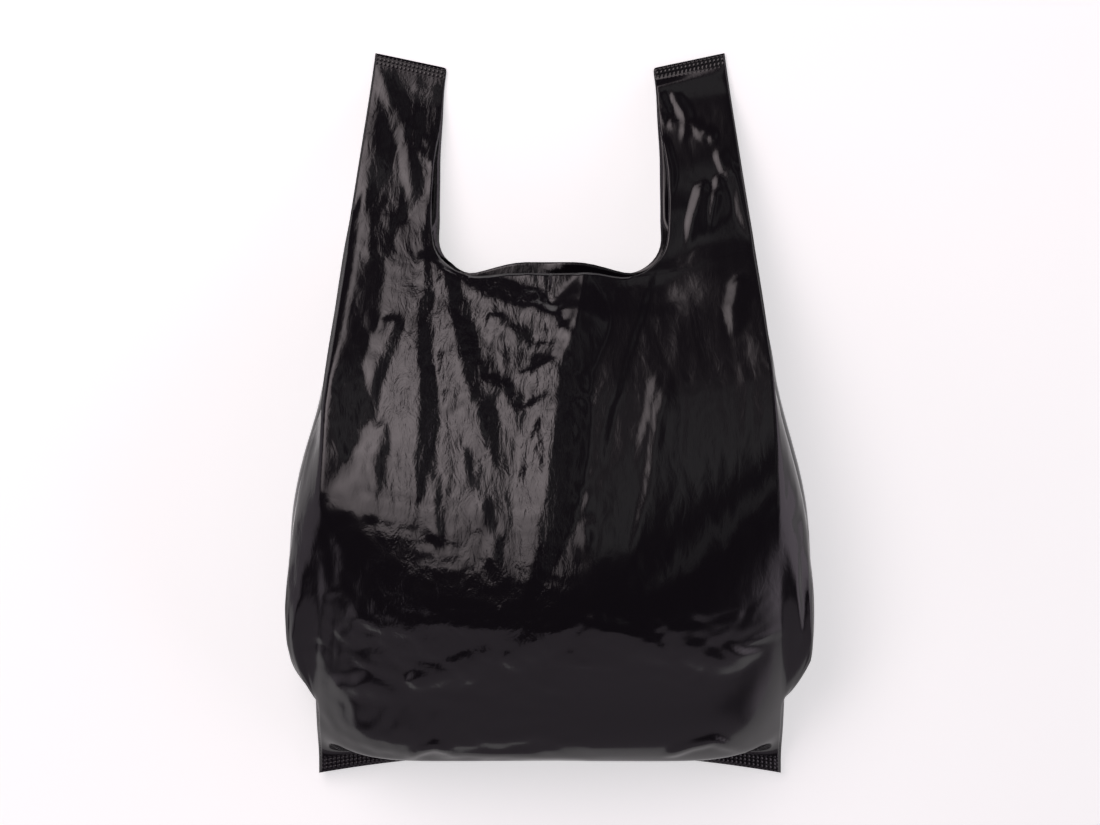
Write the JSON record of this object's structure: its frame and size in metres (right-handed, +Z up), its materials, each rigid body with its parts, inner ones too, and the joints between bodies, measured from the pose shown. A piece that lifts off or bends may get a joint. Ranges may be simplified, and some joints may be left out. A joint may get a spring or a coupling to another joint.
{
  "type": "plastic carrier bag",
  "caption": "Thin black film carrier bag of the vest kind with side gussets, a wide mouth and loop handles, lying on its back and lightly filled with air.",
  "frame": {"origin": "on the surface that the bag lies on, under the middle of its outline", "axes": "+X across the bag to the right-hand handle, +Y along the bag from its bottom seal to its handles, +Z up out of the front panel"},
  "size_m": [0.3416, 0.4694, 0.1249],
  "materials": {
    "black_film": "glossy blown polyethylene film, crumpled, heat-sealed at the bottom and at the handle tops"
  },
  "bodies": {
    "root": {"carrier_bag": "black_film"}
  },
  "joints": []
}
